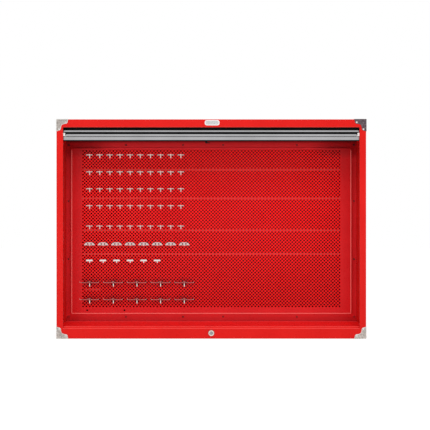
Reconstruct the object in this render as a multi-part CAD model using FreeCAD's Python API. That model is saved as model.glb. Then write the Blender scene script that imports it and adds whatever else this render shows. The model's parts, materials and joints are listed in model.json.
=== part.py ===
import FreeCAD, Part
import math
import os

from FreeCAD import Vector

# A shallow steel tool case with a perforated tool board inside and a roller shutter that rolls up
# behind its top front flange. All sizes are in millimetres.
# While it is drawn, X runs to the right from the middle of the case, Y is the depth behind the
# front flanges and Z is the height above the case's underside. The finished pieces are then moved
# so that the origin is in the middle of the whole object's footprint, at its lowest point.

# Case shell
CASE_W = 1200.0
CASE_H = 850.0
CASE_D = 165.0
SHEET = 1.2
BEND_R = 1.0
SIDE_FLANGE_W = 26.0
TOP_FLANGE_H = 31.0
TOP_HEM_D = 4.5
LIP_H = 40.5
LIP_STEP_D = 7.0
SILL_H = 47.0
BACK_RIM_D = 12.0
FLOOR_TURN_DOWN_H = 13.0

# Tool board: a raised tray with a flange that lies on the back panel
TRAY_HALF_W = 572.5
TRAY_BOTTOM = 78.0
TRAY_TOP = 755.0
TRAY_RISE = 18.0
TRAY_EDGE = 1.6
BOARD_FLANGE_HALF_W = 597.0
BOARD_FLANGE_TOP = 792.0

# Perforation: round holes on a square grid with one more hole in the middle of each square.
# Rows are counted downwards from the top row and columns from the left one, in whole pitches.
HOLE_PITCH = 13.8
HOLE_R = 2.75
GRID_ROWS = 47
GRID_COLUMNS = 77
GRID_TOP = 743.6
GRID_LEFT = -HOLE_PITCH * (GRID_COLUMNS - 1) / 2

# Holes in the board's flange and the back panel for the four wall bolts
WALL_HOLE_R = 4.5
BOARD_HOLE_R = 5.5
WALL_HOLE_X = 587.0
WALL_HOLE_LOW = 64.0
WALL_HOLE_HIGH = 771.0

# Two plain holes below the perforation
SPARE_HOLE_R = 3.0
SPARE_HOLE_Z = 93.0
SPARE_HOLE_XS = (-507.5, -355.0)

# Stiffeners behind the board, each under one row of holes
STIFFENER_W = 8.0
STIFFENER_ROWS = (5.5, 14.0, 23.5, 30.5)
STIFFENER_HALF_L = 562.0
SHORT_STIFFENER_ROW = 41.0
SHORT_STIFFENER_X = (-520.0, -455.0)

# Guide channels for the curtain, behind the side flanges
GUIDE_W = 22.8
GUIDE_FRONT = 2.0
GUIDE_BACK = 14.2
GUIDE_TOP = 812.0
GUIDE_BACK_LEG_TOP = 795.0

# Curtain: aluminium slats on a thin web, hung on a hollow bottom rail
CURTAIN_HALF_W = 592.0
WEB_T = 0.6
WEB_DEPTH = 10.4
SLAT_T = 2.8
SLAT_EDGE_T = 2.0
SLAT_H = 8.5
SLAT_PITCH = 16.5
FIRST_SLAT_Z = 801.0
RAIL_BOTTOM = 769.0
RAIL_H = 25.0
RAIL_FRONT = 5.5
RAIL_T = 7.0
RAIL_WALL = 1.3
RAIL_GROOVE_Z = 783.6
RAIL_GROOVE_H = 3.4
RAIL_GROOVE_D = 2.4
RAIL_CUT_BACK = 28.6
SEAL_H = 2.0
SEAL_T = 5.0
SEAL_ROOT_W = 2.0
SEAL_ROOT_H = 1.2
WEB_IN_RAIL = 4.0
RUN_BOTTOM = 812.5
RUN_END_GAP = 0.3
RUN_SLATS = 2

# Nylon blocks in the ends of the rail
BLOCK_FRONT = 4.0
BLOCK_BACK = 12.6
BLOCK_BOTTOM = 785.6
BLOCK_TOP = 798.0
BLOCK_INNER_X = 567.0
BLOCK_OUTER_X = 595.5
BLOCK_TONGUE_L = 14.0

# Coil: the curtain wound on a tube that turns on a fixed shaft
COIL_DEPTH = 46.5
COIL_Z = 811.0
TUBE_R = 10.0
TUBE_WALL = 1.5
TUBE_HALF_L = 590.5
LAYER_T = 3.63
COIL_TURNS = 6.0
COIL_START = math.radians(60)
WOUND_GAP = 0.04
SHAFT_R = 4.0
END_CAP_L = 16.0
SPRING_R = 6.8
SPRING_LENGTH = 420.0
BRACKET_T = 2.0
BRACKET_D = 44.0
BRACKET_H = 46.0
BRACKET_BOSS = 18.0
BRACKET_BOSS_L = 3.0
BRACKET_CORNER = 7.0

# Lock in the middle of the front lip, and the hook under the rail that it holds
LOCK_Z = 22.3
LOCK_HEAD_R = 12.0
LOCK_PROUD = 5.0
LOCK_HEAD_T = 4.4
LOCK_BARREL_R = 9.5
LOCK_BARREL_L = 11.4
LOCK_FLAT = 8.0
PLUG_R = 7.3
NUT_AF = 24.0
NUT_T = 3.0
CAM_FRONT = 12.6
CAM_T = 1.8
CAM_HUB_R = 8.0
CAM_W = 9.0
CAM_REACH = 24.7
CAM_FINGER_W = 4.0
CAM_FINGER_L = 6.0
CAM_SQUARE = 7.0
CAM_SQUARE_PROUD = 0.8
CAM_SCREW_R = 5.0
CAM_SCREW_H = 2.5
KEY_SLOT = (2.0, 8.4, 4.0)
HOOK_FRONT = 12.5
HOOK_T = 2.0
HOOK_LEFT = -24.0
HOOK_RIGHT = 3.0
HOOK_SHANK_W = 8.5
HOOK_LIP_L = 10.0
HOOK_DROP = 10.5
HOOK_LIP_H = 3.4
HOOK_PLATE_TOP = 790.0
SLOT_X = (-26.5, 16.5)
SLOT_DEPTHS = (11.6, 15.6)
CLOSED_GAP = 0.5

# Corner guards: pressed steel caps over the four front corners
GUARD_T = 1.2
GUARD_LEG = 48.0
GUARD_END = 44.5
GUARD_LOBE_W = 18.5
GUARD_LOBE_CUT = 4.0
GUARD_HOLLOW_END = 31.5
GUARD_HOLLOW = 22.8
GUARD_DEPTH = 26.0
GUARD_EDGE = 1.4
GUARD_WALL_CUT = 10.0

# Tool holders on the board. Each is one stamped steel piece: a strip that is bent forward from the
# board and up again, with a front plate across it and a prong in one of the board's holes.
HOLDER_SHEET = 1.6
HOLDER_REACH = 9.0
BRACKET_REACH = 13.0
STRIP_W = 3.8
BRACKET_STRIP_W = 2.6
STRIP_REACH = 15.6
PRONG_W = 3.0
PRONG_REACH = 3.0
FIRST_COLUMN = 2
CLIP_ROWS = (1, 6, 11, 16, 22)
CLIP_STEP = 3
CLIPS_PER_ROW = 10
RING_ROW = 27.5
RING_OPENING_R = 3.3
RING_OPENING_X = 6.8
RING_SIDES = 6
PLATE_ROW = 32.4
RING_STEP = 4
RINGS_PER_ROW = 8
PLATES_PER_ROW = 6
BRACKET_ROWS = (39, 44)
BRACKET_STEP = 7
BRACKETS_PER_ROW = 5

HALF_W = CASE_W / 2
HALF_SHEET = SHEET / 2
TRAY_FACE = CASE_D - 2 * SHEET - TRAY_RISE
BOARD_FLANGE_FRONT = CASE_D - 2 * SHEET
TOP_LIP_Z = CASE_H - TOP_FLANGE_H
WEB_BACK = WEB_DEPTH + WEB_T / 2
WEB_FRONT = WEB_DEPTH - WEB_T / 2
SLAT_FRONT = WEB_FRONT - SLAT_T
RAIL_TOP = RAIL_BOTTOM + RAIL_H
SEAL_BOTTOM = RAIL_BOTTOM - SEAL_H
TRAVEL = SEAL_BOTTOM - SILL_H - CLOSED_GAP
ORIGIN_SHIFT = Vector(0, -(CASE_D - LOCK_PROUD) / 2, GUARD_T)


def box(x0, x1, y0, y1, z0, z1):
    return Part.makeBox(x1 - x0, y1 - y0, z1 - z0, Vector(x0, y0, z0))


def rod_x(radius, x0, x1, depth=COIL_DEPTH, z=COIL_Z):
    return Part.makeCylinder(radius, x1 - x0, Vector(x0, depth, z), Vector(1, 0, 0))


def rod_y(radius, y0, y1, x=0.0, z=LOCK_Z):
    return Part.makeCylinder(radius, y1 - y0, Vector(x, y0, z), Vector(0, 1, 0))


def mirrored(shape):
    return shape.mirror(Vector(0, 0, 0), Vector(1, 0, 0))


def fused(shapes):
    return shapes[0].multiFuse(shapes[1:]).removeSplitter() if len(shapes) > 1 else shapes[0]


def at_yz(x):
    """A section drawn as (depth, height), at one place across the width."""
    return lambda p: Vector(x, p.x, p.y)


def at_xy(z):
    """A section drawn as (across, depth), at one height."""
    return lambda p: Vector(p.x, p.y, z)


def at_xz(y):
    """A section drawn as (across, height), at one depth."""
    return lambda p: Vector(p.x, y, p.y)


def polygon(points, to_space):
    corners = [to_space(Vector(u, v, 0)) for u, v in points]
    return Part.Face(Part.makePolygon(corners + corners[:1]))


def prism_y(sides, corner_radius, y0, y1, x, z, first_angle=0.0):
    """A regular prism lying along the depth."""
    corners = []
    for i in range(sides):
        angle = first_angle + 2 * math.pi * i / sides
        corners.append((x + corner_radius * math.cos(angle), z + corner_radius * math.sin(angle)))
    return polygon(corners, at_xz(y0)).extrude(Vector(0, y1 - y0, 0))


def left_of(direction):
    return Vector(-direction.y, direction.x, 0)


def folded_side(points, runs, side, to_space, thickness, inner_radius):
    """One face of a folded sheet as edges: straight runs, and an arc round each bend."""
    half = thickness / 2
    mid_radius = inner_radius + half
    edges = []
    at = points[0] + left_of(runs[0]) * (side * half)
    for corner, before, after in zip(points[1:-1], runs, runs[1:]):
        bend = math.copysign(1, before.x * after.y - before.y * after.x)
        reach = mid_radius * math.tan(before.getAngle(after) / 2)
        centre = corner - before * reach + left_of(before) * (bend * mid_radius)
        radius = mid_radius - bend * side * half
        outward = (left_of(before) + left_of(after)).normalize() * -bend
        first = centre - left_of(before) * (bend * radius)
        last = centre - left_of(after) * (bend * radius)
        middle = centre + outward * radius
        edges.append(Part.LineSegment(to_space(at), to_space(first)).toShape())
        edges.append(Part.Arc(to_space(first), to_space(middle), to_space(last)).toShape())
        at = last
    end = points[-1] + left_of(runs[-1]) * (side * half)
    edges.append(Part.LineSegment(to_space(at), to_space(end)).toShape())
    return edges, end


def folded_section(outline, to_space, thickness=SHEET, inner_radius=BEND_R):
    """The cross-section of a folded sheet, from the middle line of its thickness."""
    points = [Vector(u, v, 0) for u, v in outline]
    runs = [(b - a).normalize() for a, b in zip(points, points[1:])]
    edges = []
    ends = []
    for side in (1, -1):
        found, end = folded_side(points, runs, side, to_space, thickness, inner_radius)
        edges += found
        ends.append(end)
    start_offset = left_of(runs[0]) * (thickness / 2)
    starts = [points[0] + start_offset, points[0] - start_offset]
    for first, last in (ends, starts):
        edges.append(Part.LineSegment(to_space(first), to_space(last)).toShape())
    return Part.Face(Part.Wire(Part.__sortEdges__(edges)))


def hole_place(column, row):
    return GRID_LEFT + HOLE_PITCH * column, GRID_TOP - HOLE_PITCH * row


# Case panels


def top_panel():
    outline = [
        (TOP_HEM_D, TOP_LIP_Z + HALF_SHEET),
        (HALF_SHEET, TOP_LIP_Z + HALF_SHEET),
        (HALF_SHEET, CASE_H - HALF_SHEET),
        (CASE_D, CASE_H - HALF_SHEET),
    ]
    half = HALF_W - SHEET
    panel = folded_section(outline, at_yz(-half)).extrude(Vector(2 * half, 0, 0))
    flange_end = HALF_W - SIDE_FLANGE_W
    bend = SHEET + BEND_R
    corner = fused([
        box(flange_end, HALF_W, -1, SHEET, TOP_LIP_Z - 1, CASE_H + 1),
        box(flange_end, HALF_W, -1, TOP_HEM_D + 1, TOP_LIP_Z - 1, TOP_LIP_Z + 2 * SHEET),
        box(HALF_W - bend, HALF_W, -1, bend, TOP_LIP_Z - 1, CASE_H + 1),
    ])
    return panel.cut(corner).cut(mirrored(corner))


def bottom_panel():
    back = BOARD_FLANGE_FRONT - HALF_SHEET
    outline = [
        (CASE_D, HALF_SHEET),
        (HALF_SHEET, HALF_SHEET),
        (HALF_SHEET, LIP_H - HALF_SHEET),
        (LIP_STEP_D + HALF_SHEET, LIP_H - HALF_SHEET),
        (LIP_STEP_D + HALF_SHEET, SILL_H - HALF_SHEET),
        (back, SILL_H - HALF_SHEET),
        (back, SILL_H - FLOOR_TURN_DOWN_H),
    ]
    half = BOARD_FLANGE_HALF_W
    panel = folded_section(outline, at_yz(-half)).extrude(Vector(2 * half, 0, 0))
    corner = box(HALF_W - SIDE_FLANGE_W, HALF_W, -1, SHEET, -1, LIP_H + 1)
    slot = box(*SLOT_X, *SLOT_DEPTHS, SILL_H - 3, SILL_H + 1)
    lock_hole = rod_y(LOCK_BARREL_R + 0.1, -1, SHEET + 1)
    return panel.cut(corner).cut(mirrored(corner)).cut(slot).cut(lock_hole)


def left_side_panel():
    outline = [
        (-HALF_W + SIDE_FLANGE_W, HALF_SHEET),
        (-HALF_W + HALF_SHEET, HALF_SHEET),
        (-HALF_W + HALF_SHEET, CASE_D),
    ]
    return folded_section(outline, at_xy(0)).extrude(Vector(0, 0, CASE_H))


def back_panel():
    side = HALF_W - SHEET
    outer = box(-side, side, CASE_D - BACK_RIM_D, CASE_D, SHEET, CASE_H - SHEET)
    inner_side = side - SHEET
    front = CASE_D - BACK_RIM_D - 1
    inner = box(-inner_side, inner_side, front, CASE_D - SHEET, 2 * SHEET, CASE_H - 2 * SHEET)
    panel = outer.cut(inner)
    for x, z in wall_bolts():
        panel = panel.cut(rod_y(WALL_HOLE_R, BOARD_FLANGE_FRONT, CASE_D + 1, x, z))
    return panel


def wall_bolts():
    """The four places as (across, height)."""
    sides = (-WALL_HOLE_X, WALL_HOLE_X)
    return [(x, z) for x in sides for z in (WALL_HOLE_LOW, WALL_HOLE_HIGH)]


# Tool board


def holder_rows():
    """The hole that each tool holder hooks into, as (column, row)."""
    found = []
    for row in CLIP_ROWS:
        found += [(FIRST_COLUMN + CLIP_STEP * i, row + 1) for i in range(CLIPS_PER_ROW)]
    found += [(FIRST_COLUMN + RING_STEP * i, round(RING_ROW)) for i in range(RINGS_PER_ROW)]
    found += [(FIRST_COLUMN + RING_STEP * i, round(PLATE_ROW) + 1) for i in range(PLATES_PER_ROW)]
    for row in BRACKET_ROWS:
        found += [(FIRST_COLUMN + BRACKET_STEP * i, row + 1) for i in range(BRACKETS_PER_ROW)]
    return found


def board_holes():
    """The holes that something goes through, drawn with flat sides because there are many."""
    near = TRAY_FACE - 1
    far = TRAY_FACE + SHEET + 1
    square = math.radians(45)
    holes = [prism_y(8, BOARD_HOLE_R, near, CASE_D, x, z) for x, z in wall_bolts()]
    holes += [prism_y(6, SPARE_HOLE_R, near, far, x, SPARE_HOLE_Z) for x in SPARE_HOLE_XS]
    for column, row in holder_rows():
        x, z = hole_place(column, row)
        holes.append(prism_y(4, HOLE_R, near, far, x, z, square))
    return Part.makeCompound(holes)


def tray_block(inset, front):
    """The tray's outside or inside as a block, its front edges broken."""
    half = TRAY_HALF_W - inset
    block = box(-half, half, front, CASE_D + 1, TRAY_BOTTOM + inset, TRAY_TOP - inset)
    front_edges = []
    for edge in block.Edges:
        if all(abs(v.Point.y - front) < 0.01 for v in edge.Vertexes):
            front_edges.append(edge)
    return block.makeChamfer(TRAY_EDGE, front_edges)


def tool_board():
    half = BOARD_FLANGE_HALF_W
    flange_bottom = SILL_H - FLOOR_TURN_DOWN_H
    back = CASE_D - SHEET
    flange = box(-half, half, BOARD_FLANGE_FRONT, back, flange_bottom, BOARD_FLANGE_TOP)
    outside = tray_block(0, TRAY_FACE).common(box(-half, half, 0, back, 0, CASE_H))
    inside = tray_block(SHEET, TRAY_FACE + SHEET)
    board = flange.fuse(outside).cut(inside).removeSplitter()
    return board.cut(board_holes())


def stiffener(row, x0, x1):
    """A channel between the board and the back panel."""
    z = hole_place(0, row)[1]
    near = TRAY_FACE + SHEET
    back = CASE_D - SHEET
    half = STIFFENER_W / 2
    inner_half = half - SHEET
    bar = box(x0, x1, near, back, z - half, z + half)
    return bar.cut(box(x0 - 1, x1 + 1, near + SHEET, back + 1, z - inner_half, z + inner_half))


def board_stiffeners():
    bars = [stiffener(row, -STIFFENER_HALF_L, STIFFENER_HALF_L) for row in STIFFENER_ROWS]
    bars.append(stiffener(SHORT_STIFFENER_ROW, *SHORT_STIFFENER_X))
    return Part.makeCompound(bars)


# Tool holders


def prong(x, z):
    """A tab that goes through the hole whose middle is at z."""
    half = PRONG_W / 2
    return box(x - half, x + half, TRAY_FACE - 1, TRAY_FACE + PRONG_REACH, z - half, z + half)


def bent_strip(x, width, front, lip_top, shelf_top, foot):
    """A strip that lies on the board, comes forward as a shelf and ends in a lip."""
    shelf_low = shelf_top - HOLDER_SHEET
    outline = [
        (TRAY_FACE, foot), (TRAY_FACE - HOLDER_SHEET, foot), (TRAY_FACE - HOLDER_SHEET, shelf_low),
        (front, shelf_low), (front, lip_top), (front + HOLDER_SHEET, lip_top),
        (front + HOLDER_SHEET, shelf_top), (TRAY_FACE, shelf_top),
    ]
    return polygon(outline, at_yz(x - width / 2)).extrude(Vector(width, 0, 0))


def front_plate(right_half, x, z, depth):
    """A symmetrical plate, from the right half of its outline, listed from the bottom up."""
    placed = [(x + u, z + v) for u, v in both_sides(right_half)]
    return polygon(placed, at_xz(depth)).extrude(Vector(0, HOLDER_SHEET, 0))


def both_sides(right_half):
    return right_half + [(-u, v) for u, v in reversed(right_half)]


def tool_clip(x, z):
    """A T-shaped clip whose lip stands a little higher in the middle."""
    front = TRAY_FACE - HOLDER_REACH
    return fused([
        bent_strip(x, STRIP_W, front, z + 1.0, z - 4.6, z - STRIP_REACH),
        front_plate([(13.2, -4.5), (13.2, -1.5)], x, z, front),
        prong(x, z - HOLE_PITCH),
    ])


def ring_holder(x, z):
    """An arched front plate with two round openings."""
    front = TRAY_FACE - HOLDER_REACH
    face = front_plate([(22.0, -5.4), (21.0, -1.6), (15.5, 4.2), (7.0, 6.6)], x, z, front)
    back = front + HOLDER_SHEET
    for u in (-RING_OPENING_X, RING_OPENING_X):
        opening = prism_y(RING_SIDES, RING_OPENING_R, front - 1, back + 1, x + u, z)
        face = face.cut(opening)
    return fused([
        face,
        bent_strip(x, STRIP_W, front, z + 1.0, z - 3.2, z - 8.4),
        prong(x, hole_place(0, round(RING_ROW))[1]),
    ])


def plate_holder(x, z):
    """A bright front plate, its ends turned back towards the board."""
    front = TRAY_FACE - HOLDER_REACH
    wings = [
        box(x + u - 1.0, x + u + 1.0, front + 1, front + 4, z - 3.0, z + 2.6)
        for u in (-12.4, 12.4)
    ]
    return fused([
        front_plate([(13.4, -3.0), (13.4, 2.8), (12.0, 3.9)], x, z, front),
        *wings,
        bent_strip(x, STRIP_W, front, z + 1.0, z - 1.2, z - 10.0),
        prong(x, hole_place(0, round(PLATE_ROW) + 1)[1]),
    ])


def wide_bracket(x, z):
    """A long slim bar with raised ends, which arches up over its strip in the middle."""
    front = TRAY_FACE - BRACKET_REACH
    bar = [
        (3.0, 3.7), (10.0, 0.2), (36.5, 0.2), (39.5, 2.6),
        (39.5, 5.6), (37.9, 5.6), (36.0, 1.8), (10.4, 1.8), (3.4, 5.4),
    ]
    return fused([
        front_plate(bar, x, z, front),
        bent_strip(x, BRACKET_STRIP_W, front, z + 4.6, z - 0.2, z - STRIP_REACH),
        prong(x, z - HOLE_PITCH),
    ])


def holder_row(make, row, step, count):
    places = [hole_place(FIRST_COLUMN + step * i, row) for i in range(count)]
    return Part.makeCompound([make(x, z) for x, z in places])


# Guides and head


def left_guide():
    inner_x = -HALF_W + SHEET + GUIDE_W
    web_x = -HALF_W + SHEET + HALF_SHEET
    outline = [
        (inner_x, GUIDE_FRONT + HALF_SHEET),
        (web_x, GUIDE_FRONT + HALF_SHEET),
        (web_x, GUIDE_BACK - HALF_SHEET),
        (inner_x, GUIDE_BACK - HALF_SHEET),
    ]
    channel = folded_section(outline, at_xy(SILL_H)).extrude(Vector(0, 0, GUIDE_TOP - SILL_H))
    mouth = box(
        web_x + 2 * SHEET, inner_x + 1,
        GUIDE_BACK - 2 * SHEET, GUIDE_BACK + 1,
        GUIDE_BACK_LEG_TOP, GUIDE_TOP + 1,
    )
    return channel.cut(mouth)


def left_head_bracket():
    """A plate on the side panel, with a square boss that holds the shaft's end."""
    wall = -HALF_W + SHEET
    half_d = BRACKET_D / 2
    half_h = BRACKET_H / 2
    half_boss = BRACKET_BOSS / 2
    plate = box(
        wall, wall + BRACKET_T,
        COIL_DEPTH - half_d, COIL_DEPTH + half_d, COIL_Z - half_h, COIL_Z + half_h,
    )
    along_x = [e for e in plate.Edges if is_along(e, Vector(1, 0, 0))]
    plate = plate.makeChamfer(BRACKET_CORNER, along_x)
    boss = box(
        wall, wall + BRACKET_T + BRACKET_BOSS_L,
        COIL_DEPTH - half_boss, COIL_DEPTH + half_boss, COIL_Z - half_boss, COIL_Z + half_boss,
    )
    bore = rod_x(SHAFT_R + 0.02, wall - 1, wall + 10)
    return plate.fuse(boss).cut(bore).removeSplitter()


def is_along(edge, direction):
    run = edge.Vertexes[-1].Point - edge.Vertexes[0].Point
    return run.Length > 0 and run.getAngle(direction) % math.pi < 0.01


def barrel_shaft():
    reach = HALF_W - SHEET - 0.2
    return rod_x(SHAFT_R, -reach, reach)


def barrel_tube():
    tube = rod_x(TUBE_R, -TUBE_HALF_L, TUBE_HALF_L)
    return tube.cut(rod_x(TUBE_R - TUBE_WALL, -TUBE_HALF_L - 1, TUBE_HALF_L + 1))


def right_end_cap():
    """A plug in the tube's end that runs on the shaft. It holds the tube by its eight edges."""
    start = TUBE_HALF_L - END_CAP_L
    reach = TUBE_R - TUBE_WALL
    corners = []
    for i in range(8):
        angle = math.radians(45 * i)
        corners.append((COIL_DEPTH + reach * math.cos(angle), COIL_Z + reach * math.sin(angle)))
    plug = polygon(corners, at_yz(start)).extrude(Vector(END_CAP_L, 0, 0))
    return plug.cut(rod_x(SHAFT_R + 0.06, start - 1, TUBE_HALF_L + 1))


def torsion_spring():
    """The spring wound closely on the shaft, drawn as the sleeve that its turns fill."""
    start = -TUBE_HALF_L + END_CAP_L + 4
    end = start + SPRING_LENGTH
    return rod_x(SPRING_R, start, end).cut(rod_x(SHAFT_R, start - 1, end + 1))


# Curtain


def slat_section(to_space):
    """A slat's section as (thickness, height): flat at the back, crowned in front."""
    half = SLAT_H / 2
    outline = [
        (0, half), (0, -half), (-SLAT_EDGE_T, -half), (-SLAT_T, 0), (-SLAT_EDGE_T, half),
    ]
    return polygon(outline, to_space)


def slat_bar(to_space):
    return slat_section(to_space).extrude(Vector(2 * CURTAIN_HALF_W, 0, 0))


def hanging_slat(middle_z):
    return slat_bar(lambda p: Vector(-CURTAIN_HALF_W, WEB_FRONT + p.x, middle_z + p.y))


def coil_radius(turned):
    """The middle of the web's thickness, after winding in from the outside by an angle."""
    core = TUBE_R + WOUND_GAP + WEB_T / 2
    return core + LAYER_T * (COIL_TURNS - turned / (2 * math.pi))


def coil_point(turned, outward=0.0):
    """A place on the coil as (depth, height). The curtain comes up in front and goes back."""
    radius = coil_radius(turned) + outward
    return Vector(
        COIL_DEPTH - radius * math.cos(turned), COIL_Z + radius * math.sin(turned), 0
    )


def slat_turns():
    """The angle at which each slat of the coil sits, at even steps along the spiral."""
    found = []
    turned = COIL_START + SLAT_PITCH / 2 / coil_radius(COIL_START)
    while turned < 2 * math.pi * COIL_TURNS:
        found.append(turned)
        turned += SLAT_PITCH / coil_radius(turned)
    return found


def square_to_coil(turned):
    """Two directions at an angle of the coil: outwards, and along the band towards its core."""
    outwards = Vector(-math.cos(turned), math.sin(turned), 0)
    inwards_along = Vector(math.sin(turned), math.cos(turned), 0)
    return outwards, inwards_along


def coiled_web():
    """The wound band: flat under each slat, and bent between one slat and the next."""
    outer = []
    inner = []
    for turned in slat_turns():
        outwards, along = square_to_coil(turned)
        for step in (-SLAT_H / 2, SLAT_H / 2):
            place = coil_point(turned) + along * step
            outer.append(place + outwards * (WEB_T / 2))
            inner.append(place - outwards * (WEB_T / 2))
    outline = [(p.x, p.y) for p in outer + inner[::-1]]
    band = polygon(outline, at_yz(-CURTAIN_HALF_W))
    return band.extrude(Vector(2 * CURTAIN_HALF_W, 0, 0))


def coiled_slats():
    seat = WEB_T / 2 + WOUND_GAP
    return Part.makeCompound([tilted_slat(coil_point(t, seat), t) for t in slat_turns()])


def tilted_slat(seat, turned):
    """A slat whose back lies at a place, turned from upright towards lying on its back."""
    outwards, along = square_to_coil(turned)

    def to_space(p):
        place = seat - outwards * p.x + along * p.y
        return Vector(-CURTAIN_HALF_W, place.x, place.y)

    return slat_bar(to_space)


def curtain_run():
    """The stretch that leaves the guides and bends back onto the coil, as one arc."""
    end = coil_point(COIL_START)
    across = end.x - WEB_DEPTH
    up = end.y - RUN_BOTTOM
    radius = (across ** 2 + up ** 2) / (2 * across)
    sweep = math.atan2(up, radius - across) - RUN_END_GAP / radius
    centre = Vector(WEB_DEPTH + radius, RUN_BOTTOM, 0)

    def place(angle, outward):
        reach = radius + outward
        return centre + Vector(-reach * math.cos(angle), reach * math.sin(angle), 0)

    to_space = at_yz(-CURTAIN_HALF_W)
    half = WEB_T / 2
    inner, outer = [
        [to_space(place(angle, outward)) for angle in (0, sweep / 2, sweep)]
        for outward in (-half, half)
    ]
    edges = [Part.Arc(*outer).toShape(), Part.Arc(*inner).toShape()]
    edges += [Part.LineSegment(inner[i], outer[i]).toShape() for i in (0, 2)]
    web = Part.Face(Part.Wire(Part.__sortEdges__(edges))).extrude(Vector(2 * CURTAIN_HALF_W, 0, 0))
    pieces = [web]
    along = FIRST_SLAT_Z + SLAT_H / 2 + SLAT_PITCH - RUN_BOTTOM
    for i in range(RUN_SLATS):
        angle = (along + i * SLAT_PITCH) / radius
        pieces.append(tilted_slat(place(angle, half + WOUND_GAP), angle))
    return Part.makeCompound(pieces)


def lower_web():
    half = CURTAIN_HALF_W
    return box(-half, half, WEB_FRONT, WEB_BACK, RAIL_TOP - WEB_IN_RAIL, RUN_BOTTOM)


# Bottom rail


def bottom_rail():
    """A hollow extrusion with a finger groove, its upper part cut back at both ends."""
    half = CURTAIN_HALF_W
    back = RAIL_FRONT + RAIL_T
    groove_back = RAIL_FRONT + RAIL_GROOVE_D
    wall_z = RAIL_GROOVE_Z + RAIL_GROOVE_H / 2
    body = box(-half, half, RAIL_FRONT, back, RAIL_BOTTOM, RAIL_TOP)
    front_edges = [
        e for e in body.Edges
        if is_along(e, Vector(1, 0, 0)) and abs(e.Vertexes[0].Point.y - RAIL_FRONT) < 0.01
    ]
    body = body.makeFillet(1.2, front_edges)
    chamber_front = groove_back + RAIL_WALL
    chamber_back = back - RAIL_WALL
    end = half + 1
    groove_low = RAIL_GROOVE_Z - RAIL_GROOVE_H / 2
    web_slot_low = RAIL_TOP - WEB_IN_RAIL
    cuts = [
        box(-end, end, RAIL_FRONT - 1, groove_back, groove_low, wall_z),
        box(-end, end, chamber_front, chamber_back, RAIL_BOTTOM + 2.0, RAIL_GROOVE_Z - 1.0),
        box(-end, end, chamber_front, chamber_back, RAIL_GROOVE_Z + 1.0, RAIL_TOP - 5.0),
        box(-end, end, WEB_FRONT - 0.1, WEB_BACK + 0.1, web_slot_low, RAIL_TOP + 1),
        box(-end, end, RAIL_FRONT + 2.4, back - 2.4, RAIL_BOTTOM - 1, RAIL_BOTTOM + SEAL_ROOT_H),
    ]
    for side in (-1, 1):
        ends = sorted([side * (half - RAIL_CUT_BACK), side * end])
        cuts.append(box(*ends, 0, back + 1, wall_z, RAIL_TOP + 1))
    return body.cut(Part.makeCompound(cuts))


def right_end_block():
    """A nylon block that runs in the guide, with a tongue in the rail's upper chamber."""
    block = box(BLOCK_INNER_X, BLOCK_OUTER_X, BLOCK_FRONT, BLOCK_BACK, BLOCK_BOTTOM, BLOCK_TOP)
    block = block.makeChamfer(1.5, [e for e in block.Edges if is_along(e, Vector(0, 1, 0))])
    passage = box(
        BLOCK_INNER_X - 1, BLOCK_OUTER_X + 1,
        WEB_FRONT - 0.2, WEB_BACK + 0.2,
        RAIL_TOP - WEB_IN_RAIL, BLOCK_TOP + 1,
    )
    chamber_front = RAIL_FRONT + RAIL_GROOVE_D + RAIL_WALL
    tongue = box(
        BLOCK_INNER_X - BLOCK_TONGUE_L, BLOCK_INNER_X + 1, chamber_front + 0.1,
        RAIL_FRONT + RAIL_T - RAIL_WALL - 0.1, BLOCK_BOTTOM + 0.2, RAIL_TOP - 5.2,
    )
    return block.cut(passage).fuse(tongue).removeSplitter()


def rail_seal():
    """A soft strip let into the rail's underside, round at the bottom."""
    half = CURTAIN_HALF_W - 1
    middle = RAIL_FRONT + RAIL_T / 2
    root = SEAL_ROOT_W / 2
    foot = SEAL_T / 2
    upper = [(foot, RAIL_BOTTOM), (root, RAIL_BOTTOM), (root, RAIL_BOTTOM + SEAL_ROOT_H)]
    right_half = [(foot - 0.8, SEAL_BOTTOM)] + upper
    outline = [(middle + u, v) for u, v in both_sides(right_half)]
    return polygon(outline, at_yz(-half)).extrude(Vector(2 * half, 0, 0))


def latch_hook():
    """A plate on the rail's back whose lower end is a hook, open to the right."""
    low = SEAL_BOTTOM + 2.0 - HOOK_DROP
    shank_right = HOOK_LEFT + HOOK_SHANK_W
    outline = [
        (HOOK_LEFT, HOOK_PLATE_TOP), (HOOK_LEFT, low + 2.0), (HOOK_LEFT + 2.0, low),
        (shank_right + HOOK_LIP_L, low), (shank_right + HOOK_LIP_L, low + HOOK_LIP_H),
        (shank_right, low + HOOK_LIP_H), (shank_right, RAIL_BOTTOM), (HOOK_RIGHT, RAIL_BOTTOM),
        (HOOK_RIGHT, HOOK_PLATE_TOP),
    ]
    return polygon(outline, at_xz(HOOK_FRONT)).extrude(Vector(0, HOOK_T, 0))


# Lock


def lock_body():
    """The fixed barrel: a bevelled round head, and a flatted barrel through the lip."""
    head = rod_y(LOCK_HEAD_R, -LOCK_HEAD_T, 0)
    rim = [e for e in head.Edges if all(v.Point.y < -LOCK_HEAD_T + 0.01 for v in e.Vertexes)]
    head = head.makeChamfer(1.6, rim)
    barrel = rod_y(LOCK_BARREL_R, 0, LOCK_BARREL_L)
    barrel = barrel.common(box(-LOCK_FLAT, LOCK_FLAT, 0, LOCK_BARREL_L, 0, 2 * LOCK_Z))
    return head.fuse(barrel).cut(rod_y(PLUG_R + 0.05, -10, 20)).removeSplitter()


def lock_nut():
    nut = prism_y(6, NUT_AF / math.sqrt(3), SHEET, SHEET + NUT_T, 0, LOCK_Z)
    return nut.cut(rod_y(LOCK_BARREL_R + 0.02, 0, 10))


def cam_square(y0, y1):
    half = CAM_SQUARE / 2
    return box(-half, half, y0, y1, LOCK_Z - half, LOCK_Z + half)


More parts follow.
